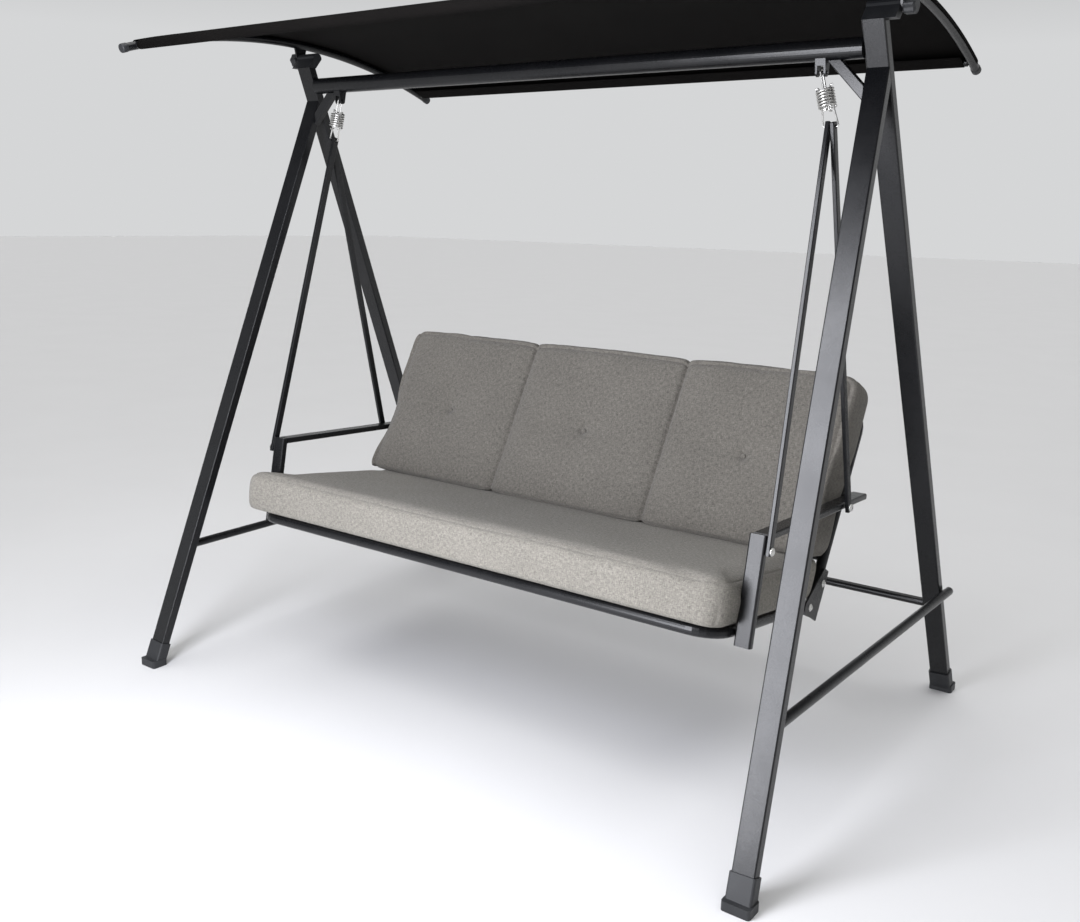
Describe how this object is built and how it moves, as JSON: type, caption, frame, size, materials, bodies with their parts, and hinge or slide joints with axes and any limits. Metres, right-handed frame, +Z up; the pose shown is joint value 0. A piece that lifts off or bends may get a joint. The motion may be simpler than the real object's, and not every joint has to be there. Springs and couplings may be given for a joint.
{
  "type": "canopy swing bench",
  "caption": "Garden swing bench: padded seat and back on bent tube frames, hung by springs and bars from two A-frames under a tilting arched canopy.",
  "frame": {"origin": "on the floor, at the middle of the base between the four feet", "axes": "+Z up, +Y towards the back of the seat, +X towards the right-hand frame as seen from the front"},
  "size_m": [1.8628, 1.298, 1.7204],
  "materials": {
    "powder_coat": "satin charcoal powder coat",
    "zinc": "zinc plated",
    "dark_plastic": "fine-grained dark grey plastic",
    "cushion_cloth": "light heather grey woven cover",
    "canopy_cloth": "near-black coated canvas"
  },
  "bodies": {
    "stand": {"leg_front_left": "powder_coat", "leg_front_right": "powder_coat", "leg_rear_left": "powder_coat", "leg_rear_right": "powder_coat", "foot_front_left": "dark_plastic", "foot_front_right": "dark_plastic", "foot_rear_left": "dark_plastic", "foot_rear_right": "dark_plastic", "cross_beam": "powder_coat", "gusset_left": "powder_coat", "gusset_right": "powder_coat", "side_brace_left": "powder_coat", "side_brace_right": "powder_coat", "rear_crossbar": "powder_coat", "hanger_bracket_left": "powder_coat", "hanger_bracket_right": "powder_coat", "canopy_clamp_left": "dark_plastic", "canopy_clamp_right": "dark_plastic"},
    "suspension": {"spring_hook_left": "zinc", "spring_hook_right": "zinc", "spring_coil_left": "zinc", "spring_coil_right": "zinc"},
    "seat": {"spring_loop_left": "zinc", "spring_loop_right": "zinc", "hanger_bar_front_left": "powder_coat", "hanger_bar_front_right": "powder_coat", "hanger_bar_rear_left": "powder_coat", "hanger_bar_rear_right": "powder_coat", "bolt_front_left": "zinc", "bolt_front_right": "zinc", "bolt_rear_left": "zinc", "bolt_rear_right": "zinc", "armrest_left": "powder_coat", "armrest_right": "powder_coat", "arm_post_left": "powder_coat", "arm_post_right": "powder_coat", "frame_bracket_left": "powder_coat", "frame_bracket_right": "powder_coat", "seat_frame": "powder_coat", "back_frame": "powder_coat", "seat_slat_1": "powder_coat", "seat_slat_2": "powder_coat", "seat_slat_3": "powder_coat", "back_slat_1": "powder_coat", "back_slat_2": "powder_coat", "seat_cushion": "cushion_cloth", "back_cushion": "cushion_cloth", "button_left": "cushion_cloth", "button_middle": "cushion_cloth", "button_right": "cushion_cloth"},
    "canopy": {"canopy_arc_left": "powder_coat", "canopy_arc_right": "powder_coat", "canopy_bar_front": "powder_coat", "canopy_bar_rear": "powder_coat", "canopy_fabric": "canopy_cloth"},
    "knob_left": {"knob_left": "dark_plastic"},
    "knob_right": {"knob_right": "dark_plastic"}
  },
  "joints": [
    {"name": "swing", "type": "hinge", "parent": "stand", "child": "suspension", "pos_m": [0, -0.067, 1.55], "axis": [1, 0, 0], "range_deg": [-18, 18]},
    {"name": "spring_bounce", "type": "slide", "parent": "suspension", "child": "seat", "axis": [0, 0, 1], "range_m": [-0.01, 0.003], "stiffness_N_per_m": 60000, "springref_m": 0.003, "deforming": ["spring_coil_left", "spring_coil_right"]},
    {"name": "canopy_tilt", "type": "hinge", "parent": "stand", "child": "canopy", "pos_m": [0, -0.067, 1.667], "axis": [1, 0, 0], "range_deg": [-18, 18]},
    {"name": "knob_left_turn", "type": "hinge", "parent": "stand", "child": "knob_left", "pos_m": [-0.876, -0.067, 1.667], "axis": [1, 0, 0], "range_deg": [-180, 180]},
    {"name": "knob_right_turn", "type": "hinge", "parent": "stand", "child": "knob_right", "pos_m": [0.876, -0.067, 1.667], "axis": [1, 0, 0], "range_deg": [-180, 180]}
  ]
}
